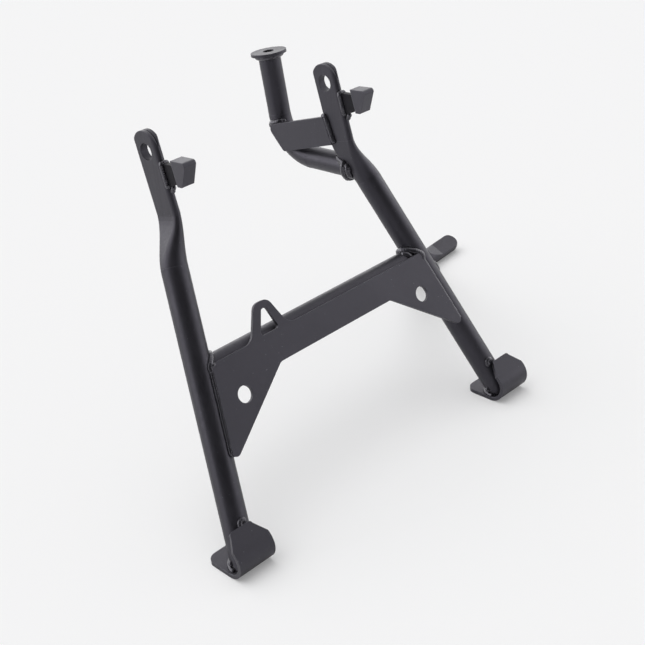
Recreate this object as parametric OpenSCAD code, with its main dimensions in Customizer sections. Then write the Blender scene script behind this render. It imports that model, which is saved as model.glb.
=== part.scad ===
// Motorcycle centre stand: two tube legs with pressed pivot ears, a cross tube, a cut front plate,
// curled strip feet, a bent peg with a drilled disk, a brace bar, two stop lugs and a foot lever.
// Millimetres. The origin is midway between the pivot holes. X runs to the right, Y to the rear, Z up.

/* [Legs] */
// Height of the pivot holes above the ground
pivot_height = 338; // [250:1:420]
// Outside diameter of the leg tubes
leg_od = 25; // [20:0.5:35]
// Wall thickness of the leg tubes
leg_wall = 2.5; // [1.5:0.1:4]
// Forward lean of the legs from upright, in degrees
leg_lean = 26.5; // [15:0.1:40]
// Outward spread of each leg seen square to both legs, in degrees
leg_splay = 12.2; // [5:0.1:20]
// Half the spacing of the leg axes carried up to pivot level
leg_half_top = 100.8; // [80:0.1:130]
// Distance of the leg axes behind the pivot at pivot level
leg_setback = 17.8; // [0:0.1:40]

/* [Pivot ears] */
// Half the spacing of the ears, from the middle to each ear's mid plane
ear_half_gap = 109.2; // [90:0.1:140]
// Thickness of the pressed ears
ear_thick = 7.8; // [5:0.1:12]
// Width of the pressed ears
ear_width = 31; // [26:0.5:40]
// Forward lean of the ears from upright, in degrees
ear_lean = 13.5; // [0:0.5:30]
// Diameter of the pivot holes
pivot_bore = 16; // [8:0.1:20]
// Height of the nose's centre above the pivot hole
ear_nose_rise = 3.4; // [0:0.1:10]
// Length of flat ear below the pivot hole
ear_flat = 58; // [35:1:80]
// Distance below pivot level, along the legs, where they are fully round
leg_round_from = 110; // [90:1:160]
// Width of the open seam between the pressed walls at the nose
seam_gap = 0.9; // [0.3:0.1:2]
// Depth of that open seam
seam_depth = 4; // [1:0.5:7]

/* [Cross tube and plate] */
// Outside diameter of the cross tube
cross_od = 22; // [16:0.5:30]
// Wall thickness of the cross tube, the peg tube and the lever
small_wall = 2; // [1:0.1:4]
// Distance of the cross tube below pivot level, along the legs
cross_down = 203.4; // [150:0.1:260]
// Thickness of the front plate
plate_thick = 3.5; // [2:0.1:6]
// Distance of the plate's top edge below pivot level, along the legs
plate_top = 200; // [150:0.5:250]
// Height of the plate between its gussets
plate_band = 28; // [15:0.5:60]
// Distance of the gusset tips below pivot level, along the legs
gusset_end = 283.5; // [240:0.5:320]
// Length of the straight lower edge left of the middle
gusset_start_left = 70; // [40:0.5:110]
// Length of the straight lower edge right of the middle
gusset_start_right = 79; // [40:0.5:110]
// Distance of the plate's outer edges inside the leg axes
plate_inset = 5.5; // [2:0.1:10]
// Width of the gussets' blunt ends
gusset_toe = 7; // [7:0.5:12]
// Diameter of the two holes in the gussets
gusset_bore = 16; // [6:0.1:20]
// Half the spacing of the gusset holes
gusset_bore_half = 119; // [90:0.5:140]
// Distance of the gusset holes below the plate's top edge
gusset_bore_down = 38; // [20:0.5:60]

/* [Spring loop] */
// Middle of the loop, from the middle of the stand
loop_x = -61.5; // [-100:0.5:100]
// Height of the loop above the plate's top edge
loop_rise = 30.5; // [15:0.5:45]
// Half the length of the loop's root
loop_root_half = 29; // [20:0.5:45]
// Width of the material above the loop's opening
loop_rim = 7; // [4:0.5:12]
// Length of the loop's straight top
loop_top = 16; // [14:0.5:24]
// How far the loop's inner root lies nearer its middle than the outer root
loop_skew = 13; // [0:0.5:20]
// Height of the opening's lower edge above the plate's top edge
loop_sill = 1; // [0:0.5:6]
// Width of the opening at its top
slot_top = 6; // [5.5:0.1:9]

/* [Feet] */
// Width of the foot strips
foot_width = 41; // [25:0.5:60]
// Thickness of the foot strips
foot_thick = 4; // [2:0.1:8]
// Distance of the feet's middles outside the leg axes at the ground
foot_out = 0.5; // [-6:0.5:6]
// Shift of both feet to the right of that place
foot_shift = 3; // [-8:0.5:8]
// Length of the flat base behind the centre of the curled toe
base_long = 32; // [15:0.5:50]
// Distance of the curled toe's centre in front of the leg axis at the base
curl_ahead = 0; // [-5:0.5:8]
// Outside radius of the curled toe
curl_radius = 18; // [8:0.5:30]
// Backward lean of the toe's flat flap from upright, in degrees
flap_lean = 54; // [20:1:80]
// Length of the flat flap above the curl
flap_long = 16; // [14:0.5:24]
// Length cut off each upper corner of the flap, along the flap
flap_cut_long = 13; // [5:0.5:14]
// Length cut off each upper corner of the flap, along its top edge
flap_cut_wide = 8; // [3:0.5:15]

/* [Peg and brace] */
// Outside diameter of the bent peg tube
peg_od = 23; // [16:0.5:30]
// Distance of the peg's axis behind the pivot at pivot height
peg_back = 90.6; // [60:0.1:130]
// Forward lean of the peg's upright from upright, in degrees
peg_lean = 6.4; // [0:0.1:20]
// Height of the disk's top face above pivot height
disk_height = 16; // [0:0.5:60]
// Depth of the peg's lower run below pivot height, at the bend
run_depth = 90; // [60:0.5:130]
// Rise of the lower run towards the leg, in degrees
run_rise = 2; // [-10:0.5:15]
// Bend radius of the peg tube
peg_bend = 45; // [25:1:60]
// Diameter of the disk on the peg
disk_od = 37; // [28:0.5:60]
// Thickness of the disk on the peg
disk_thick = 3; // [2:0.1:8]
// Diameter of the hole in the disk
disk_bore = 12; // [5:0.1:20]
// Thickness of the brace bar
bar_thick = 4; // [2:0.1:8]
// Width of the brace bar
bar_width = 29; // [15:0.5:45]
// Slope of the brace bar, rising to the front, in degrees
bar_slope = 16; // [0:0.5:30]
// Length of the brace bar's upper edge
bar_long = 89.5; // [60:0.5:120]
// Depth of the bar's upper front corner below the pivot
bar_down = 34; // [20:0.5:50]
// Length cut off the bar's lower rear corner, along the bar
bar_cut = 22.5; // [0:0.5:40]

/* [Stop lugs] */
// Width of the stop blocks
stop_width = 13; // [8:0.5:20]
// Thickness of the webs between the ears and the stop blocks
stop_web = 5; // [3:0.1:10]
// Reach of the stop faces in front of the pivot, at the top
stop_reach = 57.6; // [40:0.1:80]
// Length of the stop blocks, at the top
stop_long = 20.6; // [10:0.1:30]
// Length of the stop blocks, at the bottom
stop_short = 6.8; // [4:0.1:15]
// Height of the stop blocks
stop_height = 24; // [15:0.5:40]

/* [Foot lever] */
// Outside diameter of the lever tube
lever_od = 23; // [16:0.5:30]
// Distance of the lever's root below pivot level, along the leg
lever_down = 224; // [180:0.5:300]
// Distance of the lever's tip behind the pivot
lever_back = 122; // [60:0.5:160]
// Distance of the lever's tip from the middle of the stand
lever_tip = 428; // [300:0.5:460]
// Length of the level end, from the lever's corner to its tip
lever_end = 83; // [60:0.5:120]
// Backward swing of the level end, in degrees
lever_swing = 7; // [-20:0.5:30]
// Bend radius of the lever
lever_bend = 35; // [25:1:60]
// Length of the pressed tread face, from the lever's tip
tread_long = 42; // [20:0.5:60]
// Distance of the tread face from the tube's axis
tread_depth = 6; // [3:0.5:10]
// Slope of the tread face towards the front, in degrees
tread_slope = 30; // [0:1:60]

/* [Hidden] */
$fn = 96;
leg_r = leg_od / 2;
sl = sin(leg_lean);
cl = cos(leg_lean);
se = sin(ear_lean);
ce = cos(ear_lean);
ear_r = ear_width / 2;
ear_inner = ear_half_gap - ear_thick / 2;
joint_over = 1;
// Parts of one piece run past each other, and differ by a step that is too small to see.
step = 0.02;
// A tube's walls swell a little where it is bent.
bend_swell = 0.3;
far = 900;
// The slanting cuts end this far below the flap's top edge.
flap_top_rise = 3;
foot_corner_r = 10;
flap_corner_r = 2.8;
// Corner radii of the plate, the loop and its opening.
throat_r = 9;
gusset_tip_r = 4;
loop_root_r = 14;
loop_top_r = 9;
slot_r = 2.6;
// Share of the loop's straight top that lies left of its middle.
loop_top_left = 0.7;
// Ends of the opening's lower edge, left and right of the loop's middle.
slot_low_left = 18;
slot_low_right = 5;
// The bar's front end leans this much beyond square, and its upper front corner lies behind the pivot.
bar_front_turn = 4;
bar_front_back = 3.5;
bar_tail_drop = 24.5;
bar_tail_r = 6;
bar_heel_r = 4;
// The stop block's corners, and the heights on its rear face where its web begins and ends.
stop_top = 0.3;
stop_tip_rise = 1.6;
stop_undercut = 5.5;
stop_low_rise = 1.4;
stop_toe_rise = 0.4;
stop_tip_r = 3;
stop_toe_r = 2;
web_from = 0.28;
web_to = 0.93;
web_drop = 1.5;
web_depth = 28.5;
web_toe = 1.2;
web_sink = 8;
// The lever's tread face starts this far outside the tube, and slopes down to its depth.
tread_lift = 0.2;
tread_ramp = 22;
// The plate's back edges lie on the leg tubes, and its back face lies on the cross tube.
plate_back = sqrt(leg_r * leg_r - plate_inset * plate_inset);
cross_front = plate_back - cross_od / 2;
peg_x = ear_inner + (peg_od + bend_swell) / 2;
// Where the leg axes reach the top of the feet.
leg_down_long = (pivot_height - foot_thick) / cl;
foot_half_gap = leg_half_top + leg_down_long * tan(leg_splay) + foot_out;
curl_front = leg_down_long * sl - leg_setback + curl_ahead;
inner_r = curl_radius - foot_thick;
curl_centre = [-curl_front, -pivot_height + curl_radius];

// The frame of the two legs: local -Z runs down between them and local -Y is their front.
module leg_frame() {
  translate([0, leg_setback, 0]) rotate([-leg_lean, 0, 0]) children();
}

// Local Z runs up the right leg's axis from pivot level.
module right_leg_axis() {
  leg_frame() translate([leg_half_top, 0, 0]) rotate([0, -leg_splay, 0]) children();
}

// Local Z runs up the right ear from its pivot hole.
module right_ear() {
  translate([ear_half_gap, 0, 0]) rotate([-ear_lean, 0, 0]) children();
}

// Pulls a flat outline drawn in width and height out along X, centred on its plane.
module across(thick) {
  rotate([90, 0, 90]) translate([0, 0, -thick / 2]) linear_extrude(thick) children();
}

function unit(v) = v / norm(v);
// Half the angle of a corner at p with neighbours a and b, and the centre of its rounding.
function half_angle(p, a, b) = acos(unit(a - p) * unit(b - p)) / 2;
function round_centre(p, a, b, r) = p + unit(unit(a - p) + unit(b - p)) * r / sin(half_angle(p, a, b));
function round_ends(p, a, b, r) = [for (q = [a, b]) p + unit(q - p) * r / tan(half_angle(p, a, b))];

// What a sharp corner loses to its rounding of radius r.
module corner(p, a, b, r) {
  inward = unit(unit(a - p) + unit(b - p));
  ends = round_ends(p, a, b, r);
  difference() {
    polygon([p - inward * 2 * joint_over, ends[0], round_centre(p, a, b, r), ends[1]]);
    translate(round_centre(p, a, b, r) + inward * step) circle(r);
  }
}

// A hollow corner is filled up to the middle of its arc, and then cut with the arc's circle.
function filled(p, a, b, r) = [round_ends(p, a, b, r)[0], round_centre(p, a, b, r), round_ends(p, a, b, r)[1]];
module hollow(p, a, b, r) {
  translate(round_centre(p, a, b, r)) circle(r + step);
}

// Points in the legs' own frame and in the stand's frame.
function leg_point(p) = [p[0], leg_setback + p[1] * cl + p[2] * sl, p[2] * cl - p[1] * sl];
function leg_dir(p) = [p[0], p[1] * cl + p[2] * sl, p[2] * cl - p[1] * sl];

// The press dies turn the round tube into a flat ear: centre line, section axes and half sizes.
press_in = 0.15;
press_lap = 2;
ear_start = [ear_half_gap, 0, 0] - (ear_flat - press_lap) * [0, se, ce];
ear_down = [0, -se, -ce];
leg_down = leg_dir([sin(leg_splay), 0, -cos(leg_splay)]);
leg_start = leg_point([leg_half_top + leg_round_from * tan(leg_splay), 0, -leg_round_from])
  + press_lap * leg_down;
press_points = 48;
press_steps = 14;
function ease(t) = t * t * (3 - 2 * t);
function blend(a, b, t) = a + (b - a) * ease(t);
// A smooth path from a, along direction da, to b, along direction db.
function path(a, da, b, db, t) = let (s = 1 - t, k = norm(b - a) / 3)
  s * s * s * a + 3 * s * s * t * (a + da * k) + 3 * s * t * t * (b - db * k) + t * t * t * b;
// A section with rounded edges: half thickness a along out, half width w along wide.
function press_ring(at, out, wide, a, w) =
  [for (i = [0:press_points - 1]) let (q = (i + 0.5) * 360 / press_points)
    at + out * a * cos(q) + wide * (a * sin(q) + (w - a) * (sin(q) > 0 ? 1 : -1))];

// The middle of a ring of points.
function middle(r) = [for (k = [0:2]) (max([for (p = r) p[k]]) + min([for (p = r) p[k]])) / 2];

// Closed skin over rings of points.
module press_skin(rings) {
  n = press_points;
  m = len(rings) - 1;
  sides = [for (j = [0:m - 1], i = [0:n - 1])
    each [[j * n + i, (j + 1) * n + (i + 1) % n, (j + 1) * n + i],
      [j * n + i, j * n + (i + 1) % n, (j + 1) * n + (i + 1) % n]]];
  top = [for (i = [0:n - 1]) [(m + 1) * n, (i + 1) % n, i]];
  bottom = [for (i = [0:n - 1]) [(m + 1) * n + 1, m * n + i, m * n + (i + 1) % n]];
  polyhedron([for (r = rings) each r, middle(rings[0]), middle(rings[m])], concat(sides, top, bottom));
}

module press_loft() {
  press_skin([for (j = [0:press_steps]) let (t = j / press_steps)
    press_ring(path(ear_start, ear_down, leg_start, leg_down, t),
      unit(blend([1, 0, 0], leg_dir([cos(leg_splay), 0, sin(leg_splay)]), t)),
      unit(blend([0, ce, -se], leg_dir([0, 1, 0]), t)),
      blend(ear_thick / 2, leg_r, t) - press_in, blend(ear_r, leg_r, t) - press_in)]);
}

// The flat ear with rolled side edges, before its hole and seam.
module ear_flat_body() {
  right_ear() intersection() {
    across(ear_thick) ear_outline();
    union() {
      cube_from([-ear_thick / 2, -ear_r + ear_thick / 2, -ear_flat - joint_over],
        [ear_thick, ear_width - ear_thick, ear_flat + ear_width]);
      for (s = [-1, 1])
        translate([0, s * (ear_r - ear_thick / 2), -ear_flat - joint_over])
          cylinder(r = ear_thick / 2, h = ear_flat + ear_width);
    }
  }
}

module cube_from(p, size) {
  translate(p) cube(size);
}

module ear_outline() {
  translate([0, ear_nose_rise]) circle(ear_r);
  translate([-ear_r, -ear_flat - joint_over])
    square([ear_width, ear_flat + joint_over + ear_nose_rise]);
}

// The round part of the right leg, down to the level top of its foot.
module leg_round(r) {
  difference() {
    right_leg_axis() translate([0, 0, -far])
      cylinder(r = r, h = far - leg_round_from / cos(leg_splay));
    foot_level();
    toe_room();
  }
}

// The leg's front lower edge is cut back in three steps, to stand inside the curl of the foot.
toe_gap = 0.1;
module toe_room() {
  turns = [for (a = [30, 60, 90]) curl_centre - (inner_r - toe_gap) * [sin(a), cos(a)]];
  heel = curl_centre + [5 * toe_gap, -inner_r];
  across(2 * far) polygon([heel + (heel - turns[0]), each turns, [-far, curl_centre[1]], [-far, -far]]);
}

module foot_level() {
  translate([-far, -far, -pivot_height + foot_thick - far]) cube([2 * far, 2 * far, far]);
}

module leg_right() {
  color([0.2, 0.2, 0.22]) difference() {
    union() {
      ear_flat_body();
      press_loft();
      leg_round(leg_r);
    }
    right_leg_axis() translate([0, 0, -far])
      cylinder(r = leg_r - leg_wall, h = far - leg_round_from / cos(leg_splay) - press_lap);
    right_ear() {
      rotate([0, 90, 0]) cylinder(d = pivot_bore, h = 2 * ear_thick, center = true);
      across(seam_gap) difference() {
        translate([0, ear_nose_rise]) circle(ear_r + joint_over);
        translate([0, ear_nose_rise]) circle(ear_r - seam_depth);
        translate([-far, -far + ear_nose_rise]) square([2 * far, far]);
      }
    }
  }
}

module leg_left() {
  mirror([1, 0, 0]) leg_right();
}

module cross_tube() {
  half = leg_half_top + cross_down * tan(leg_splay);
  color([0.25, 0.25, 0.27]) difference() {
    leg_frame() translate([0, -cross_front, -cross_down]) rotate([0, 90, 0]) difference() {
      cylinder(d = cross_od, h = 2 * half, center = true);
      cylinder(d = cross_od - 2 * small_wall, h = 2 * half + 2 * joint_over, center = true);
    }
    for (s = [0, 1]) mirror([s, 0, 0]) leg_round(leg_r);
  }
}

function flip(p) = [-p[0], p[1]];
// The plate's right outer edge at a distance below pivot level, along the legs.
function plate_edge(s) = leg_half_top + s * tan(leg_splay) - plate_inset / cos(leg_splay);

// Corners of the plate, seen from the front with the stand's left on the left.
plate_shoulder = [plate_edge(plate_top), -plate_top];
plate_tip = [plate_edge(gusset_end), -gusset_end];
plate_toe = plate_tip - [gusset_toe, 0];
throat_right = [gusset_start_right, -plate_top - plate_band];
throat_left = [-gusset_start_left, -plate_top - plate_band];
// Corners of the loop: where it leaves the plate, and its top.
loop_out = [loop_x - loop_root_half, -plate_top];
loop_out_top = [loop_x - loop_top * loop_top_left, -plate_top + loop_rise];
loop_in_top = loop_out_top + [loop_top, 0];
loop_in = [loop_x + loop_root_half - loop_skew, -plate_top];

module plate_outline() {
  difference() {
    polygon([plate_shoulder, plate_tip, plate_toe,
      each filled(throat_right, plate_toe, throat_left, throat_r),
      each filled(throat_left, throat_right, flip(plate_toe), throat_r),
      flip(plate_toe), flip(plate_tip), flip(plate_shoulder),
      each filled(loop_out, flip(plate_shoulder), loop_out_top, loop_root_r), loop_out_top, loop_in_top,
      each filled(loop_in, loop_in_top, plate_shoulder, loop_root_r)]);
    hollow(throat_right, plate_toe, throat_left, throat_r);
    hollow(throat_left, throat_right, flip(plate_toe), throat_r);
    hollow(loop_out, flip(plate_shoulder), loop_out_top, loop_root_r);
    hollow(loop_in, loop_in_top, plate_shoulder, loop_root_r);
    corner(loop_out_top, loop_out, loop_in_top, loop_top_r);
    corner(loop_in_top, loop_out_top, loop_in, loop_top_r);
    for (s = [0, 1]) mirror([s, 0]) {
      corner(plate_tip, plate_shoulder, plate_toe, gusset_tip_r);
      corner(plate_toe, plate_tip, throat_right, gusset_tip_r);
      translate([gusset_bore_half, -plate_top - gusset_bore_down]) circle(d = gusset_bore);
    }
  }
}

// The opening that the spring hooks into.
module loop_opening() {
  top = -plate_top + loop_rise - loop_rim;
  low = -plate_top + loop_sill;
  lt = [loop_x - slot_top, top];
  rt = [loop_x, top];
  lb = [loop_x - slot_low_left, low];
  rb = [loop_x + slot_low_right, low];
  difference() {
    polygon([lb, lt, rt, rb]);
    corner(lt, lb, rt, slot_r);
    corner(rt, lt, rb, slot_r);
    corner(lb, lt, rb, slot_r);
    corner(rb, rt, lb, slot_r);
  }
}

module cross_plate() {
  color([0.22, 0.22, 0.24]) leg_frame() translate([0, -plate_back, 0]) rotate([90, 0, 0])
    linear_extrude(plate_thick) difference() {
      plate_outline();
      loop_opening();
    }
}

// The foot strip seen from the side, as [distance to the rear, height]: base, curl and flap.
flap_up = [sin(flap_lean), cos(flap_lean)];
flap_out = [-cos(flap_lean), sin(flap_lean)];
flap_slant = curl_radius * (1 + sin(flap_lean)) / cos(flap_lean);
module foot_profile() {
  base_rear = [base_long - curl_front, -pivot_height];
  flap_front = curl_centre + curl_radius * flap_out;
  flap_back = curl_centre + inner_r * flap_out;
  nose = flap_front - flap_slant * flap_up;
  difference() {
    polygon([base_rear, nose, flap_front + flap_long * flap_up, flap_back + flap_long * flap_up, flap_back,
      curl_centre, curl_centre - [0, inner_r], base_rear + [0, foot_thick]]);
    corner(nose, base_rear, flap_front, curl_radius);
    translate(curl_centre) circle(inner_r - step);
  }
}

// What the flap loses at one upper corner, as [across, up the flap].
module flap_cut() {
  w = foot_width / 2;
  in = w - flap_cut_wide;
  top = flap_long - flap_top_rise;
  polygon([[w, top - flap_cut_long], [in, top], [in, flap_long + joint_over],
    [w + joint_over, flap_long + joint_over], [w + joint_over, top - flap_cut_long]]);
  corner([in, flap_long], [in, 0], [0, flap_long], flap_corner_r);
}

module foot(middle) {
  base_front = [foot_width / 2, -curl_front];
  base_corner = [foot_width / 2, base_long - curl_front];
  color([0.28, 0.28, 0.3]) difference() {
    translate([middle, 0, 0]) difference() {
      across(foot_width) foot_profile();
      for (s = [0, 1]) mirror([s, 0, 0]) {
        translate([0, 0, -pivot_height - joint_over]) linear_extrude(foot_thick + 2 * joint_over)
          corner(base_corner, base_front, [0, base_corner[1]], foot_corner_r);
        translate([0, curl_centre[0], curl_centre[1]]) rotate([90 - flap_lean, 0, 0])
          translate([0, 0, curl_radius - foot_thick - joint_over])
            linear_extrude(foot_thick + 2 * joint_over) flap_cut();
      }
    }
    leg_round(leg_r);
  }
}

module foot_right() {
  foot(foot_half_gap + foot_shift);
}

module foot_left() {
  mirror([1, 0, 0]) foot(foot_half_gap - foot_shift);
}

// Local origin on the peg's axis at pivot height, local Z up along the upright.
module peg_frame() {
  translate([peg_x, peg_back, 0]) rotate([-peg_lean, 0, 0]) children();
}

peg_turn = 90 - peg_lean + run_rise;
peg_corner = run_depth / cos(peg_lean);
peg_tangent = peg_bend * tan(peg_turn / 2);
peg_top = disk_height / cos(peg_lean);
// The lower run ends inside the leg.
leg_back = leg_setback - run_depth * tan(leg_lean);
run_long = peg_back - run_depth * tan(peg_lean) - leg_back - leg_r + 2 * joint_over;

module peg_run(d, extra) {
  peg_frame() {
    translate([0, 0, -peg_corner + peg_tangent - joint_over])
      cylinder(d = d, h = peg_corner - peg_tangent + joint_over + peg_top - disk_thick + extra);
    translate([0, -peg_bend, -peg_corner + peg_tangent]) rotate([0, 90, 0]) rotate([0, 0, 90 - peg_turn])
      rotate_extrude(angle = peg_turn) translate([peg_bend, 0]) circle(d = d + bend_swell);
    translate([0, 0, -peg_corner]) rotate([90 - peg_turn, 0, 0])
      translate([0, joint_over - peg_tangent, 0]) rotate([90, 0, 0])
        cylinder(d = d, h = run_long - peg_tangent + joint_over + extra);
  }
}

module peg_tube() {
  color([0.3, 0.3, 0.33]) difference() {
    peg_run(peg_od, 0);
    peg_run(peg_od - 2 * small_wall, 1);
    press_loft();
    leg_round(leg_r);
  }
}

module peg_disk() {
  color([0.35, 0.35, 0.38]) peg_frame() translate([0, 0, peg_top - disk_thick]) difference() {
    cylinder(d = disk_od, h = disk_thick);
    translate([0, 0, -joint_over]) cylinder(d = disk_bore, h = disk_thick + 2 * joint_over);
  }
}

module brace_bar() {
  front_turn = bar_slope + bar_front_turn;
  front_top = [bar_front_back, -bar_down];
  front_low = front_top - bar_width * [sin(front_turn), cos(front_turn)];
  back_top = front_top + bar_long * [cos(bar_slope), -sin(bar_slope)];
  back_low = back_top - [bar_cut, bar_tail_drop];
  color([0.33, 0.33, 0.36]) translate([ear_inner - bar_thick / 2, 0, 0]) across(bar_thick)
    difference() {
      polygon([front_top, back_top, back_low, front_low]);
      corner(back_top, front_top, back_low, bar_tail_r);
      corner(back_low, back_top, front_low, bar_heel_r);
    }
}

// The stop block seen from the side, as [distance behind the pivot, height above it].
stop_tip = [-stop_reach, stop_top + stop_tip_rise];
stop_heel = [-stop_reach + stop_long, stop_top];
stop_low = [stop_heel[0] - stop_undercut, stop_top - stop_height + stop_low_rise];
stop_toe = [stop_low[0] - stop_short, stop_low[1] + stop_toe_rise];

module stop_block_right() {
  color([0.4, 0.4, 0.43]) translate([ear_half_gap, 0, 0]) across(stop_width) difference() {
    polygon([stop_heel, stop_tip, stop_toe, stop_low]);
    corner(stop_tip, stop_heel, stop_toe, stop_tip_r);
    corner(stop_toe, stop_tip, stop_low, stop_toe_r);
  }
}

// The ear's front edge at a height above the pivot.
function ear_front(z) = z * tan(ear_lean) - ear_r / cos(ear_lean);

module stop_web_right() {
  heel_line = stop_low - stop_heel;
  high = stop_heel + heel_line * web_from;
  low = stop_heel + heel_line * web_to;
  root = high[1] - web_drop;
  color([0.38, 0.38, 0.4]) difference() {
    translate([ear_half_gap, 0, 0]) across(stop_web)
      polygon([[ear_front(root) + web_sink, root], high, low, [ear_front(-web_depth) - web_toe, -web_depth],
        [ear_front(-web_depth) + web_sink, -web_depth]]);
    ear_flat_body();
  }
}

module stop_block_left() {
  mirror([1, 0, 0]) stop_block_right();
}

module stop_web_left() {
  mirror([1, 0, 0]) stop_web_right();
}

// The lever runs straight from the right leg's axis to its corner, then level and outwards.
lever_root = leg_point([leg_half_top + lever_down * tan(leg_splay), 0, -lever_down]);
lever_out = [cos(lever_swing), sin(lever_swing), 0];
lever_knee = [lever_tip, lever_back, -pivot_height + lever_od / 2] - lever_end * lever_out;
lever_dir = unit(lever_knee - lever_root);
lever_turn = acos(lever_dir * lever_out);
lever_tangent = lever_bend * tan(lever_turn / 2);
lever_axis = unit(cross(lever_dir, lever_out));
lever_spoke = cross(lever_dir, lever_axis);
lever_arm = norm(lever_knee - lever_root) - lever_tangent;
lever_side = unit([-lever_axis[1], lever_axis[0], 0]);
lever_start = atan2(lever_spoke * lever_side, lever_spoke * cross(lever_side, lever_axis));

// The lever's tube at a diameter. Its level end is closed by a dome, or stops short by end_gap.
module lever_shape(d, end_gap) {
  translate(lever_root) rotate([0, acos(lever_dir[2]), atan2(lever_dir[1], lever_dir[0])])
    cylinder(d = d, h = lever_arm + joint_over);
  translate(lever_root + lever_dir * lever_arm - lever_spoke * lever_bend)
    rotate([0, acos(lever_axis[2]), atan2(lever_axis[1], lever_axis[0])]) rotate([0, 0, lever_start])
      rotate_extrude(angle = lever_turn) translate([lever_bend, 0]) circle(d = d + bend_swell);
  translate(lever_knee) rotate([0, 0, lever_swing]) rotate([0, 90, 0])
    translate([0, 0, lever_tangent - joint_over]) rotate_extrude() lever_half(d, end_gap);
}

// Half the outline of the level end, along its axis.
module lever_half(d, end_gap) {
  straight = lever_end - lever_tangent + joint_over - d / 2;
  if (end_gap > 0)
    square([d / 2, straight - end_gap]);
  else intersection() {
    square([d / 2, straight + d / 2]);
    union() {
      translate([0, straight]) circle(d = d);
      square([d / 2, straight]);
    }
  }
}

module lever_tube() {
  from = lever_end - tread_long;
  color([0.36, 0.36, 0.4]) difference() {
    lever_shape(lever_od, 0);
    lever_shape(lever_od - 2 * small_wall, tread_long + tread_ramp - lever_od / 2);
    translate(lever_knee) rotate([0, 0, lever_swing]) rotate([tread_slope, 0, 0]) rotate([90, 0, 0])
      linear_extrude(2 * lever_od, center = true)
        polygon([[from - tread_ramp, lever_od / 2 + tread_lift], [from, tread_depth],
          [from + far, tread_depth], [from + far, far], [from - tread_ramp, far]]);
    leg_round(leg_r);
  }
}

leg_left();
leg_right();
cross_tube();
cross_plate();
foot_left();
foot_right();
peg_tube();
peg_disk();
brace_bar();
stop_web_left();
stop_web_right();
stop_block_left();
stop_block_right();
lever_tube();
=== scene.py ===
import math
import random

import bmesh
import bpy
from mathutils import Matrix, Vector, noise
from mathutils.bvhtree import BVHTree


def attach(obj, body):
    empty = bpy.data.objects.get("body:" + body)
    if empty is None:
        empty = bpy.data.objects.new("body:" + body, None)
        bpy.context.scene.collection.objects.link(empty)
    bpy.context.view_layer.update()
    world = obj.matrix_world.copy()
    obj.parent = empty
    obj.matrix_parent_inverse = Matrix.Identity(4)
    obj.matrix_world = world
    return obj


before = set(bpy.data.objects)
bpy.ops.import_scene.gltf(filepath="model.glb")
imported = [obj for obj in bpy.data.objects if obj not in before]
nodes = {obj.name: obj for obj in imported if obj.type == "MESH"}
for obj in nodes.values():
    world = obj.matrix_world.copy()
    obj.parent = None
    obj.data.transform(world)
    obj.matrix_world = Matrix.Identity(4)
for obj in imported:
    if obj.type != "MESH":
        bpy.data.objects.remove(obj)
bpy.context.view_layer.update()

mm = 0.001
print("frame loaded:", len(nodes), "nodes")

# the main sizes of the stand, in metres and degrees, as its solids have them
stand = {
    "ground": -0.338,
    "legLean": 26.5,
    "legSplay": 12.2,
    "legHalfTop": 0.1008,
    "legSetback": 0.0178,
    "legRadius": 0.0125,
    "earHalfGap": 0.1092,
    "earThick": 0.0078,
    "earLean": 13.5,
    "earHalfWidth": 0.0155,
}


# camera

cameraView = {
    "place": (-0.66469, -0.82514, 0.35076),
    "turn": (61.2823, 4.9738, -44.4714),
    "lens": 66.259,
    "sensor": 36,
    "near": 0.01,
    "far": 50,
}


def makeCamera(view):
    data = bpy.data.cameras.new("camera")
    data.lens = view["lens"]
    data.sensor_width = view["sensor"]
    data.clip_start = view["near"]
    data.clip_end = view["far"]
    camera = bpy.data.objects.new("camera", data)
    camera.location = view["place"]
    camera.rotation_euler = [math.radians(a) for a in view["turn"]]
    bpy.context.scene.collection.objects.link(camera)
    bpy.context.scene.camera = camera


makeCamera(cameraView)
print("camera placed")


# node helpers

def newMaterial(name):
    material = bpy.data.materials.new(name)
    material.use_nodes = True
    tree = material.node_tree
    tree.nodes.clear()
    output = tree.nodes.new("ShaderNodeOutputMaterial")
    shader = tree.nodes.new("ShaderNodeBsdfPrincipled")
    tree.links.new(shader.outputs["BSDF"], output.inputs["Surface"])
    return material, tree, shader


def put(tree, kind, **values):
    node = tree.nodes.new(kind)
    for name, value in values.items():
        setattr(node, name, value)
    return node


def wire(tree, *pairs):
    for source, target in pairs:
        tree.links.new(source, target)


def noiseNode(tree, vector, scale, detail, roughness=0.5):
    node = put(tree, "ShaderNodeTexNoise")
    node.inputs["Scale"].default_value = scale
    node.inputs["Detail"].default_value = detail
    node.inputs["Roughness"].default_value = roughness
    wire(tree, (vector, node.inputs["Vector"]))
    return node.outputs["Fac"]


def spread(tree, value, fromLow, fromHigh, toLow, toHigh):
    node = put(tree, "ShaderNodeMapRange", clamp=True)
    for name, number in zip(("From Min", "From Max", "To Min", "To Max"),
                            (fromLow, fromHigh, toLow, toHigh)):
        node.inputs[name].default_value = number
    wire(tree, (value, node.inputs["Value"]))
    return node.outputs["Result"]


def sums(tree, kind, a, b):
    node = put(tree, "ShaderNodeMath", operation=kind)
    for socket, value in zip(node.inputs, (a, b)):
        if isinstance(value, (int, float)):
            socket.default_value = value
        else:
            wire(tree, (value, socket))
    return node.outputs[0]


# a Mix node's colours are its inputs 6 and 7 and its output 2
def mixColours(tree, factor, a, b):
    node = put(tree, "ShaderNodeMix", data_type="RGBA")
    wire(tree, (factor, node.inputs["Factor"]))
    for socket, value in ((node.inputs[6], a), (node.inputs[7], b)):
        if isinstance(value, tuple):
            socket.default_value = value
        else:
            wire(tree, (value, socket))
    return node.outputs[2]


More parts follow.
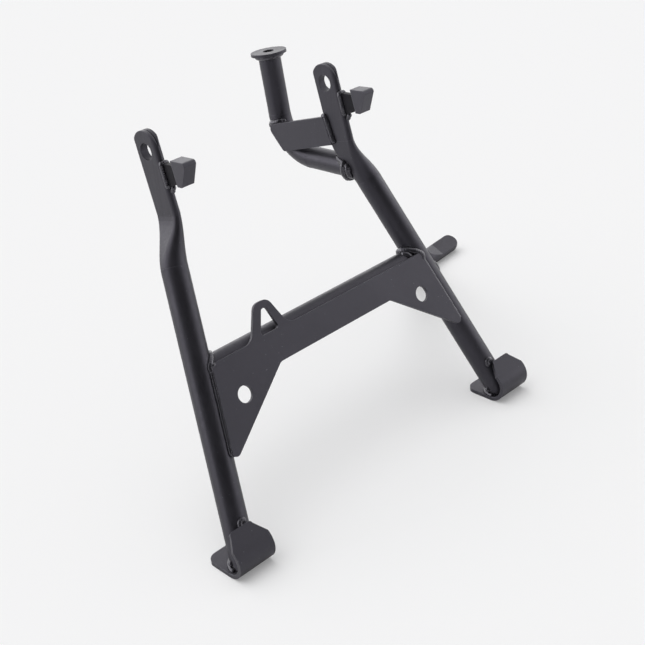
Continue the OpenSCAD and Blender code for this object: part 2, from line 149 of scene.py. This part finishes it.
# satin black powder coat: what all coats share. A noise is its scale per metre, its detail and, for the
# peel, its roughness, and a span is the part of its range that counts

paint = {
    "tint": (1.0, 0.98, 1.14), "glossTint": (0.87, 0.83, 1.0, 1.0),
    "clouds": (14.0, 3.0), "cloudSpan": (0.3, 0.7), "thin": 0.86, "thick": 1.16,
    "bevelSamples": 6, "edgeSpan": (0.995, 0.86), "edgeShare": 0.55,
    "patches": (160.0, 2.0), "patchSpan": (0.35, 0.65), "patchLow": 0.25,
    "specks": (520.0, 1.0), "speckSpan": (0.76, 0.80), "speckShare": 0.5,
    "grain": (420.0, 2.0), "grainSpan": (0.2, 0.8), "grainRough": 0.03,
    "streaks": (1.0, 2.0), "streakScale": (420.0, 420.0, 14.0), "streakHeight": 2.0,
    "peel": (900.0, 2.0, 0.6), "peelShare": 0.35, "waves": (120.0, 2.0), "bumpDepth": 0.4 * mm,
    "varnishRough": 0.14, "varnishIor": 1.6,
}

# each coat: grey is its colour (the web's darkened as painted shade), edgeWearAndHighlight the colour of
# its edges, lighter as rubbed wear and as a painted highlight, edge their radius in millimetres, peel the
# strength of its orange-peel skin, and varnish a clear gloss over it

coats = {
    "tubeCoat": {"grey": 0.010, "edgeWearAndHighlight": 0.10, "rough": (0.40, 0.52), "peel": 0.16, "streak": 0.10,
                 "edge": 0.9, "ior": 1.58, "varnish": 0.0},
    "plateCoat": {"grey": 0.016, "edgeWearAndHighlight": 0.19, "rough": (0.42, 0.54), "peel": 0.15, "streak": 0.04,
                  "edge": 0.8, "ior": 1.58, "varnish": 0.0},
    "lugCoat": {"grey": 0.026, "edgeWearAndHighlight": 0.15, "rough": (0.38, 0.50), "peel": 0.15, "streak": 0.03,
                "edge": 1.0, "ior": 1.58, "varnish": 0.0},
    # the web between ear and block is darker and duller than the other coats: painted shade of its recess
    "webShadeCoat": {"grey": 0.004, "edgeWearAndHighlight": 0.08, "rough": (0.50, 0.60), "peel": 0.15, "streak": 0.0,
                "edge": 0.8, "ior": 1.30, "varnish": 0.0},
    "weldCoat": {"grey": 0.016, "edgeWearAndHighlight": 0.10, "rough": (0.25, 0.37), "peel": 0.10, "streak": 0.0,
                 "edge": 0.5, "ior": 1.58, "varnish": 0.35},
}


def rgba(grey):
    return tuple(grey * part for part in paint["tint"]) + (1.0,)


# slow clouds where the coat lies thinner or thicker, patchy lighter edges (rubbed wear and a painted
# highlight) and a few specks of dust
def coatColour(tree, look, place, clouds, edge):
    base = mixColours(tree, spread(tree, clouds, *paint["cloudSpan"], 0.0, 1.0),
                      rgba(look["grey"] * paint["thin"]), rgba(look["grey"] * paint["thick"]))
    patches = noiseNode(tree, place, *paint["patches"])
    patchy = spread(tree, patches, *paint["patchSpan"], paint["patchLow"], 1.0)
    # painted highlight and wear along the edges: the edge mask, broken into patches, lightens the coat
    # there
    wearAndHighlight = sums(tree, "MULTIPLY", sums(tree, "MULTIPLY", edge, patchy), paint["edgeShare"])
    specks = noiseNode(tree, place, *paint["specks"])
    specks = spread(tree, specks, *paint["speckSpan"], 0.0, paint["speckShare"])
    return mixColours(tree, sums(tree, "MAXIMUM", wearAndHighlight, specks), base, rgba(look["edgeWearAndHighlight"]))


# the same clouds, fine grain, and long streaks down the stand, strongest on drawn tube
def coatRoughness(tree, look, place, clouds, streaks):
    low, high = look["rough"]
    rough = spread(tree, clouds, *paint["cloudSpan"], low, high)
    grain = noiseNode(tree, place, *paint["grain"])
    half = paint["grainRough"]
    rough = sums(tree, "ADD", rough, spread(tree, grain, *paint["grainSpan"], -half, half))
    if look["streak"]:
        half = look["streak"] / 2
        rough = sums(tree, "ADD", rough, spread(tree, streaks, *paint["cloudSpan"], -half, half))
    return rough


# orange peel over a few slow waves, and the streaks
def coatHeight(tree, look, place, streaks):
    peel = noiseNode(tree, place, *paint["peel"])
    waves = noiseNode(tree, place, *paint["waves"])
    height = sums(tree, "ADD", sums(tree, "MULTIPLY", peel, paint["peelShare"]), waves)
    if look["streak"]:
        raised = sums(tree, "MULTIPLY", streaks, look["streak"] * paint["streakHeight"])
        height = sums(tree, "ADD", height, raised)
    return height


def powderCoat(name, look):
    material, tree, shader = newMaterial(name)
    place = put(tree, "ShaderNodeTexCoord").outputs["Object"]
    clouds = noiseNode(tree, place, *paint["clouds"])
    # edges of sheet and tube: the coat pulls thin there, and the edge mask lightens them, partly as rubbed
    # wear and partly as a painted highlight
    rounded = put(tree, "ShaderNodeBevel", samples=paint["bevelSamples"])
    rounded.inputs["Radius"].default_value = look["edge"] * mm
    flat = put(tree, "ShaderNodeNewGeometry")
    turned = put(tree, "ShaderNodeVectorMath", operation="DOT_PRODUCT")
    wire(tree, (rounded.outputs["Normal"], turned.inputs[0]),
         (flat.outputs["Normal"], turned.inputs[1]))
    edge = spread(tree, turned.outputs["Value"], *paint["edgeSpan"], 0.0, 1.0)
    lengthwise = put(tree, "ShaderNodeMapping")
    lengthwise.inputs["Scale"].default_value = paint["streakScale"]
    wire(tree, (place, lengthwise.inputs["Vector"]))
    streaks = noiseNode(tree, lengthwise.outputs["Vector"], *paint["streaks"])
    bump = put(tree, "ShaderNodeBump")
    bump.inputs["Strength"].default_value = look["peel"]
    bump.inputs["Distance"].default_value = paint["bumpDepth"]
    wire(tree, (coatColour(tree, look, place, clouds, edge), shader.inputs["Base Color"]),
         (coatRoughness(tree, look, place, clouds, streaks), shader.inputs["Roughness"]),
         (coatHeight(tree, look, place, streaks), bump.inputs["Height"]),
         (rounded.outputs["Normal"], bump.inputs["Normal"]),
         (bump.outputs["Normal"], shader.inputs["Normal"]))
    for socket, value in (("Specular Tint", paint["glossTint"]), ("IOR", look["ior"]),
                          ("Coat Weight", look["varnish"]), ("Coat Roughness", paint["varnishRough"]),
                          ("Coat IOR", paint["varnishIor"])):
        shader.inputs[socket].default_value = value
    return material


coat = {name: powderCoat(name, look) for name, look in coats.items()}

coatOf = {
    "tubeCoat": ["leg_left", "leg_right", "cross_tube", "peg_tube", "lever_tube"],
    "plateCoat": ["cross_plate", "foot_left", "foot_right", "brace_bar", "peg_disk"],
    "lugCoat": ["stop_block_left", "stop_block_right"],
    "webShadeCoat": ["stop_web_left", "stop_web_right"],
}
for coatName, members in coatOf.items():
    for member in members:
        mesh = nodes[member].data
        mesh.materials.clear()
        mesh.materials.append(coat[coatName])
print("coats given to", sum(len(m) for m in coatOf.values()), "nodes")


# places on the stand

leanSin = math.sin(math.radians(stand["legLean"]))
leanCos = math.cos(math.radians(stand["legLean"]))
splaySin = math.sin(math.radians(stand["legSplay"]))
splayCos = math.cos(math.radians(stand["legSplay"]))


def legWay(x, y, z):
    return Vector((x, y * leanCos + z * leanSin, z * leanCos - y * leanSin))


def legPlace(x, y, z):
    return legWay(x, y, z) + Vector((0, stand["legSetback"], 0))


# a place turned about the X axis, as the ears and the peg lean
def leaned(x, y, z, degrees):
    turn = math.radians(degrees)
    return Vector((x, y * math.cos(turn) + z * math.sin(turn), z * math.cos(turn) - y * math.sin(turn)))


# distance of a leg's axis from the middle, at a distance down the legs
def legOut(down):
    return stand["legHalfTop"] + down * splaySin / splayCos


def flip(points):
    return [Vector((-p.x, p.y, p.z)) for p in points]


def skinOf(name):
    mesh = nodes[name].data
    verts = [v.co.copy() for v in mesh.vertices]
    return BVHTree.FromPolygons(verts, [list(p.vertices) for p in mesh.polygons])


# where a tube's skin, carried on along its axis, meets another piece, or its own end

seam = {"steps": 72, "reach": 0.4}


def tubeSeam(origin, way, radius, skin, keep=None, end=None):
    steps = seam["steps"]
    way = way.normalized()
    side = way.orthogonal().normalized()
    up = way.cross(side)
    found = []
    for i in range(steps):
        a = 2 * math.pi * i / steps
        start = origin + (side * math.cos(a) + up * math.sin(a)) * radius
        hit = skin.ray_cast(start, way, end or seam["reach"])[0]
        if hit is None and end:
            hit = start + way * end
        found.append(hit if hit is not None and (keep is None or keep(hit)) else None)
    if None not in found:
        return found, True
    # an open seam starts in a gap of the ring
    gap = max(range(steps), key=lambda i: (found[i] is None, found[i - 1] is None, -i))
    turned = found[gap:] + found[:gap]
    return [p for p in turned if p is not None], False


def onSkin(skin, points):
    return [skin.find_nearest(Vector(p))[0] for p in points]


# weld bead: a row of overlapping ripples along a path

bead = {"spacing": 0.5 * mm, "fewest": 4, "smooth": 6, "segments": 12,
        "ripple": 2.0 * mm, "lift": 0.13, "mean": 0.6,
        "wander": 0.16, "wanderScale": 260, "wanderStart": 50, "tip": 0.35}


def evenly(path, closed):
    points = list(path) + ([path[0]] if closed else [])
    lengths = [0.0]
    for a, b in zip(points, points[1:]):
        lengths.append(lengths[-1] + (b - a).length)
    count = max(bead["fewest"], round(lengths[-1] / bead["spacing"]))
    out, j = [], 0
    for i in range(count if closed else count + 1):
        s = lengths[-1] * i / count
        while j < len(points) - 2 and lengths[j + 1] < s:
            j += 1
        span = lengths[j + 1] - lengths[j] or 1.0
        out.append(points[j].lerp(points[j + 1], (s - lengths[j]) / span))
    return out


def softened(points, closed):
    for _ in range(bead["smooth"]):
        last = len(points) - 1
        points = [p if not closed and i in (0, last)
                  else (points[i - 1] + p * 2 + points[(i + 1) % len(points)]) / 4
                  for i, p in enumerate(points)]
    return points


def weldBead(name, path, size, seed, closed=False):
    points = softened(evenly(path, closed), closed)
    n = len(points)
    shift = random.Random(seed).uniform(0, bead["wanderStart"])
    mesh = bpy.data.meshes.new(name)
    bm = bmesh.new()
    normal = None
    rings = []
    for i, p in enumerate(points):
        before = points[i - 1] if closed or i > 0 else p
        after = points[(i + 1) % n] if closed or i < n - 1 else p
        way = (after - before).normalized()
        normal = way.orthogonal() if normal is None else normal - way * normal.dot(way)
        normal.normalize()
        phase = i * bead["spacing"] / bead["ripple"] % 1.0
        wander = noise.noise(p * bead["wanderScale"] + Vector((shift, 0, 0)))
        radius = size * (1 + bead["lift"] * (math.sqrt(1 - phase) - bead["mean"]) + bead["wander"] * wander)
        if not closed:
            toEnd = min(1.0, min(i, n - 1 - i) * bead["spacing"] / size)
            radius *= bead["tip"] + (1 - bead["tip"]) * math.sqrt(1 - (1 - toEnd) ** 2)
        basis = Matrix((normal, way.cross(normal), way)).transposed().to_4x4()
        ring = bmesh.ops.create_circle(bm, segments=bead["segments"], radius=radius,
                                       matrix=Matrix.Translation(p) @ basis)
        edges = list({e for v in ring["verts"] for e in v.link_edges})
        if rings:
            bmesh.ops.bridge_loops(bm, edges=rings[-1] + edges)
        rings.append(edges)
    if closed:
        bmesh.ops.bridge_loops(bm, edges=rings[-1] + rings[0])
    else:
        bmesh.ops.holes_fill(bm, edges=rings[0] + rings[-1], sides=0)
    bmesh.ops.recalc_face_normals(bm, faces=bm.faces)
    for face in bm.faces:
        face.smooth = True
    bm.to_mesh(mesh)
    bm.free()
    piece = bpy.data.objects.new(name, mesh)
    bpy.context.scene.collection.objects.link(piece)
    mesh.materials.append(coat["weldCoat"])
    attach(piece, "root")


# welds of the peg: under its disk and on the right leg

peg = {"x": 0.11695, "back": 0.0906, "lean": 6.4, "radius": 0.0115, "underDisk": 0.0131,
       "runDepth": 0.090, "runRise": 2.0, "runLong": 0.0965,
       "neckSteps": 48, "neckSize": 2.7 * mm, "neckOut": 0.35, "neckDown": 0.45,
       "legSize": 3.0 * mm, "legOut": 0.2, "fillIn": 0.0022, "fillOut": 0.004, "fillSize": 3.6 * mm}


def pegPlace(x, y, z):
    return leaned(x, y, z, peg["lean"]) + Vector((peg["x"], peg["back"], 0))


def pegWelds():
    around = [2 * math.pi * i / peg["neckSteps"] for i in range(peg["neckSteps"])]
    reach = peg["radius"] + peg["neckSize"] * peg["neckOut"]
    level = peg["underDisk"] - peg["neckSize"] * peg["neckDown"]
    neck = [pegPlace(math.cos(a) * reach, math.sin(a) * reach, level) for a in around]
    weldBead("weld_peg_disk", neck, peg["neckSize"], closed=True, seed=2)
    rise = math.radians(peg["runRise"])
    start = pegPlace(0, 0, -peg["runDepth"] / math.cos(math.radians(peg["lean"])))
    way = Vector((0, -math.cos(rise), math.sin(rise)))
    skin = skinOf("leg_right")
    path, closed = tubeSeam(start, way, peg["radius"] + peg["legSize"] * peg["legOut"], skin,
                            end=peg["runLong"])
    weldBead("weld_peg_leg", path, peg["legSize"], closed=closed, seed=3)
    # a second run fills the gap that the tube's end leaves on the leg's round side
    path, closed = tubeSeam(start, way, peg["radius"] - peg["fillIn"], skin,
                            end=peg["runLong"] + peg["fillOut"])
    weldBead("weld_peg_fill", path, peg["fillSize"], closed=closed, seed=4)


# welds of the cross tube and the foot lever on the legs

cross = {"down": 0.2034, "front": 0.0002, "radius": 0.011, "size": {"left": 3.0 * mm, "right": 3.7 * mm},
         "out": 0.25, "back": 0.3, "dabSize": 3.3 * mm,
         "dab": ((0.1228, -0.0725, -0.1712), (0.1255, -0.0768, -0.1722), (0.1275, -0.0815, -0.1752))}


def crossWelds():
    middle = legPlace(0, -cross["front"], -cross["down"])
    for side, sign in (("left", -1), ("right", 1)):
        size = cross["size"][side]
        path, closed = tubeSeam(middle, Vector((sign, 0, 0)), cross["radius"] + size * cross["out"],
                                skinOf("leg_" + side))
        path = [p - Vector((sign * size * cross["back"], 0, 0)) for p in path]
        weldBead("weld_cross_" + side, path, size, closed=closed, seed=5 + sign)
    # the last dab of the right ring lies fat on top of the tube
    weldBead("weld_cross_dab", [Vector(p) for p in cross["dab"]], cross["dabSize"], seed=9)


lever = {"down": 0.224, "tip": (0.428, 0.122), "end": 0.083, "swing": 7.0, "radius": 0.0115,
         "before": 0.08, "size": 2.2 * mm, "out": 0.2}


def leverWeld():
    root = legPlace(legOut(lever["down"]), 0, -lever["down"])
    swing = math.radians(lever["swing"])
    knee = Vector((lever["tip"][0], lever["tip"][1], stand["ground"] + lever["radius"]))
    knee -= Vector((math.cos(swing), math.sin(swing), 0)) * lever["end"]
    way = (root - knee).normalized()
    reach = lever["radius"] + lever["size"] * lever["out"]
    path, closed = tubeSeam(root - way * lever["before"], way, reach, skinOf("leg_right"))
    weldBead("weld_lever", path, lever["size"], closed=closed, seed=8)


# welds of the front plate: down both gussets, at the left one's top, and stitches on the cross tube

plate = {"back": 0.01122, "thick": 0.0035, "top": 0.200, "gussetEnd": 0.2835, "inset": 0.0055,
         "edgeSteps": 24, "edgeSize": 1.9 * mm, "edgeDepth": 0.35, "edgeOut": 0.6 * mm,
         "edgeShort": 3.0 * mm,
         "topSize": 2.0 * mm, "cornerDown": 1.5 * mm, "cornerFront": 1.0 * mm,
         "corner": (-0.5 * mm, 2.0 * mm, 4.5 * mm),
         "stitches": (-0.085, -0.02, 0.045, 0.11), "stitchHalf": 0.012, "stitchLow": 0.75,
         "stitchBack": 1.0 * mm}


def plateEdge(s):
    return legOut(s) - plate["inset"] / splayCos


def plateWelds():
    depth = plate["back"] + plate["thick"] * plate["edgeDepth"]
    steps = plate["edgeSteps"]
    span = plate["gussetEnd"] - plate["edgeShort"] - plate["top"]
    edge = []
    for i in range(steps + 1):
        s = plate["top"] + span * i / steps
        edge.append(legPlace(plateEdge(s) + plate["edgeOut"], -depth, -s))
    weldBead("weld_gusset_right", edge, plate["edgeSize"], seed=11)
    weldBead("weld_gusset_left", flip(edge), plate["edgeSize"], seed=12)
    s = plate["top"] + plate["cornerDown"]
    corner = [legPlace(d - plateEdge(s), -depth - plate["cornerFront"], -s) for d in plate["corner"]]
    weldBead("weld_plate_corner", corner, plate["topSize"], seed=13)
    # the lower edge of the band is stitched to the back of the cross tube's underside
    low = cross["down"] + cross["radius"] * plate["stitchLow"]
    for i, x in enumerate(plate["stitches"]):
        path = [legPlace(x + plate["stitchHalf"] * t, plate["stitchBack"] - plate["back"], -low)
                for t in (-1, 0, 1)]
        weldBead("weld_stitch_%d" % (i + 1), path, plate["topSize"], seed=20 + i)


# welds of the stop lugs: web to ear, web to block, and a dab on the ear below the web

lug = {"web": 0.005, "proud": 0.5 * mm, "heel": (-0.037, 0.0003), "low": (-0.0425, -0.0223),
       "size": 2.3 * mm, "earTop": -0.0115, "earLow": -0.0325, "earFront": 0.6 * mm,
       "blockSize": 2.1 * mm, "blockFrom": 0.26, "blockTo": 0.95, "blockBack": 0.3 * mm,
       "heelDab": ((-0.0285, -0.0270), (-0.0262, -0.0300), (-0.0250, -0.0340)), "heelSize": 2.3 * mm}


# each ring goes down one side of the web and up the other
def lugWelds():
    half = lug["web"] / 2 + lug["proud"]
    x = stand["earHalfGap"]
    front = -stand["earHalfWidth"] - lug["earFront"]
    heel, low = Vector((0, *lug["heel"])), Vector((0, *lug["low"]))
    web, block = [], []
    for side in (-1, 1):
        for z in (lug["earTop"], lug["earLow"])[::-side]:
            web.append(leaned(x + side * half, front, z, stand["earLean"]))
        for share in (lug["blockFrom"], lug["blockTo"])[::-side]:
            p = heel.lerp(low, share)
            block.append(Vector((x + side * half, p.y + lug["blockBack"], p.z)))
    heelDab = [Vector((x, *p)) for p in lug["heelDab"]]
    for name, path, size in (("ear", web, lug["size"]), ("block", block, lug["blockSize"]),
                             ("heel", heelDab, lug["heelSize"])):
        weldBead("weld_lug_%s_right" % name, path, size, closed=name != "heel", seed=31)
        weldBead("weld_lug_%s_left" % name, flip(path), size, closed=name != "heel", seed=32)


# welds of the brace bar: on the ear, and where its top edge passes the peg

bar = {"thick": 0.004, "frontTop": (0.0035, -0.034), "frontLow": (-0.0064, -0.0612), "slope": 16.0,
       "earSize": 2.9 * mm, "earIn": 0.15, "earTail": 0.004, "earProud": 0.3 * mm,
       "knob": (0.2 * mm, 1.6 * mm, 3.0 * mm), "knobProud": 0.2 * mm, "pegSize": 2.4 * mm,
       "dabSize": 2.9 * mm,
       "dab": ((0.1055, 0.0885, -0.0575), (0.1053, 0.0845, -0.0565), (0.1062, 0.0805, -0.0552),
               (0.1085, 0.0770, -0.0542), (0.1115, 0.0747, -0.0542), (0.1150, 0.0733, -0.0552)),
       "endDab": ((0.1060, 0.0880, -0.0572), (0.1062, 0.0900, -0.0600), (0.1060, 0.0900, -0.0635))}


def barWelds():
    x = stand["earHalfGap"] - stand["earThick"] / 2
    top, low = Vector((0, *bar["frontTop"])), Vector((0, *bar["frontLow"]))
    slope = math.radians(bar["slope"])
    along = Vector((0, math.cos(slope), -math.sin(slope)))
    proud = bar["earProud"]
    ear = [Vector((x - bar["thick"] * bar["earIn"], p.y - proud, p.z + proud))
           for p in (top + along * bar["earTail"], top, low)]
    weldBead("weld_bar_ear", ear, bar["earSize"], seed=41)
    proud = bar["knobProud"]
    knob = [Vector((x - d, top.y - proud, top.z + proud)) for d in bar["knob"]]
    weldBead("weld_bar_top", knob, bar["pegSize"], seed=44)
    # a run on the peg above the bar's top edge, and one down round the bar's rear end
    skin = skinOf("peg_tube")
    weldBead("weld_bar_peg", onSkin(skin, bar["dab"]), bar["dabSize"], seed=42)
    weldBead("weld_bar_end", onSkin(skin, bar["endDab"]), bar["pegSize"], seed=43)


# welds of the feet: round the tube on the base, on the flap's upper edge and down the tube's left side

foot = {"baseTop": 0.004, "slack": 0.3 * mm, "above": 0.30, "ringSize": 2.4 * mm, "ringOut": 0.3,
        "dabSize": 2.4 * mm, "dabHeight": -0.2955, "dabFront": -0.1465,
        "dab": ((0.0030, 0.0012), (-0.0005, 0.0040), (-0.0045, 0.0030), (-0.0055, -0.0010),
                (-0.0030, -0.0035)),
        "side": ((-0.0148, -0.1425, -0.3270), (-0.0149, -0.1440, -0.3290), (-0.0150, -0.1455, -0.3312)),
        "sideDrift": (0.0076, 0.0081, 0.0086)}


def footWelds():
    floor = stand["ground"] + foot["baseTop"]
    for side, sign in (("left", -1), ("right", 1)):
        axis = legWay(sign * splaySin, 0, -splayCos)
        top = legPlace(sign * legOut(foot["above"]), 0, -foot["above"])
        path, closed = tubeSeam(top, axis, stand["legRadius"] + foot["ringSize"] * foot["ringOut"],
                                skinOf("foot_" + side), keep=lambda p: abs(p.z - floor) < foot["slack"])
        weldBead("weld_foot_" + side, path, foot["ringSize"], closed=closed, seed=51)
        # a curled dab where the flap's top edge meets the tube, then the one down its side
        skin = skinOf("leg_" + side)
        axisX = top.x + axis.x / axis.z * (foot["dabHeight"] - top.z)
        dab = [(axisX + x, foot["dabFront"], foot["dabHeight"] + z) for x, z in foot["dab"]]
        weldBead("weld_flap_" + side, onSkin(skin, dab), foot["dabSize"], seed=54)
        down = [(axisX + x + sign * drop, y, z) for (x, y, z), drop in zip(foot["side"], foot["sideDrift"])]
        weldBead("weld_side_" + side, onSkin(skin, down), foot["dabSize"], seed=57)


for job in (pegWelds, crossWelds, leverWeld, plateWelds, lugWelds, barWelds, footWelds):
    job()
    print("made", job.__name__)


# stage: a pale paper floor, which glows a little for the camera alone

stage = {"size": 12.0, "under": 0.02 * mm, "colour": (0.93, 0.93, 0.935, 1.0),
         "lift": 0.22, "paper": (0.905, 0.905, 0.910, 1.0)}


def makeFloor():
    mesh = bpy.data.meshes.new("floor")
    bm = bmesh.new()
    bmesh.ops.create_grid(bm, x_segments=1, y_segments=1, size=stage["size"],
                          matrix=Matrix.Translation((0, 0, stand["ground"] - stage["under"])))
    bm.to_mesh(mesh)
    bm.free()
    floor = bpy.data.objects.new("floor", mesh)
    bpy.context.scene.collection.objects.link(floor)
    material = bpy.data.materials.new("paper")
    material.use_nodes = True
    tree = material.node_tree
    tree.nodes.clear()
    output = put(tree, "ShaderNodeOutputMaterial")
    diffuse = put(tree, "ShaderNodeBsdfDiffuse")
    diffuse.inputs["Color"].default_value = stage["colour"]
    glow = put(tree, "ShaderNodeEmission")
    glow.inputs["Color"].default_value = stage["paper"]
    rays = put(tree, "ShaderNodeLightPath")
    share = sums(tree, "MULTIPLY", rays.outputs["Is Camera Ray"], stage["lift"])
    mix = put(tree, "ShaderNodeMixShader")
    wire(tree, (share, mix.inputs[0]), (diffuse.outputs[0], mix.inputs[1]),
         (glow.outputs[0], mix.inputs[2]), (mix.outputs[0], output.inputs["Surface"]))
    mesh.materials.append(material)


makeFloor()


# light: a studio seen by direction. Gloss sees a bright horizon, a soft source on the left and a dark
# camera side. Matt surfaces see a wide soft box overhead, which gives the floor its shadows

studio = {
    "level": 1.22, "tilt": 0.9, "all": 1.40, "colour": (1.0, 1.0, 1.0, 1.0),
    "left": {"way": (-0.82, 0.30, 0.32), "from": 0.70, "to": 0.98, "low": 0.0, "high": 0.75},
    "camera": {"way": (-0.50, -0.74, 0.42), "from": 0.24, "to": 0.74, "low": 1.0, "high": 0.04},
    "sky": 0.35,
    "overhead": {"way": (-0.22, 0.28, 1.0), "from": 0.60, "to": 0.95, "low": 0.0, "high": 1.71},
}


def lobe(tree, way, source):
    dot = put(tree, "ShaderNodeVectorMath", operation="DOT_PRODUCT")
    dot.inputs[1].default_value = Vector(source["way"]).normalized()
    wire(tree, (way, dot.inputs[0]))
    level = put(tree, "ShaderNodeMapRange", interpolation_type="SMOOTHSTEP")
    for name, key in (("From Min", "from"), ("From Max", "to"), ("To Min", "low"), ("To Max", "high")):
        level.inputs[name].default_value = source[key]
    wire(tree, (dot.outputs["Value"], level.inputs["Value"]))
    return level.outputs["Result"]


def makeWorld():
    world = bpy.data.worlds.new("studio")
    bpy.context.scene.world = world
    world.use_nodes = True
    world.cycles.sampling_method = "NONE"    # each ray finds the light for its own kind
    tree = world.node_tree
    tree.nodes.clear()
    output = put(tree, "ShaderNodeOutputWorld")
    way = put(tree, "ShaderNodeTexCoord").outputs["Generated"]
    # for gloss, brighter towards the horizon than overhead
    height = put(tree, "ShaderNodeSeparateXYZ")
    wire(tree, (way, height.inputs[0]))
    level, half = studio["level"], studio["tilt"] / 2
    gloss = spread(tree, height.outputs["Z"], 0.0, 1.0, level * (1 + half), level * (1 - half))
    gloss = sums(tree, "ADD", gloss, lobe(tree, way, studio["left"]))
    gloss = sums(tree, "MULTIPLY", gloss, lobe(tree, way, studio["camera"]))
    gloss = sums(tree, "MULTIPLY", gloss, studio["all"])
    matt = sums(tree, "ADD", studio["sky"], lobe(tree, way, studio["overhead"]))
    rays = put(tree, "ShaderNodeLightPath")
    # a Mix node's plain numbers are its inputs 2 and 3 and its output 0
    strength = put(tree, "ShaderNodeMix", data_type="FLOAT")
    wire(tree, (rays.outputs["Is Diffuse Ray"], strength.inputs["Factor"]),
         (gloss, strength.inputs[2]), (matt, strength.inputs[3]))
    light = put(tree, "ShaderNodeBackground")
    light.inputs["Color"].default_value = studio["colour"]
    wire(tree, (strength.outputs[0], light.inputs["Strength"]))
    backdrop = put(tree, "ShaderNodeBackground")
    backdrop.inputs["Color"].default_value = stage["paper"]
    mix = put(tree, "ShaderNodeMixShader")
    wire(tree, (rays.outputs["Is Camera Ray"], mix.inputs[0]), (light.outputs[0], mix.inputs[1]),
         (backdrop.outputs[0], mix.inputs[2]), (mix.outputs[0], output.inputs["Surface"]))


makeWorld()
bpy.context.scene.view_settings.view_transform = "Standard"
print("stage and light ready")
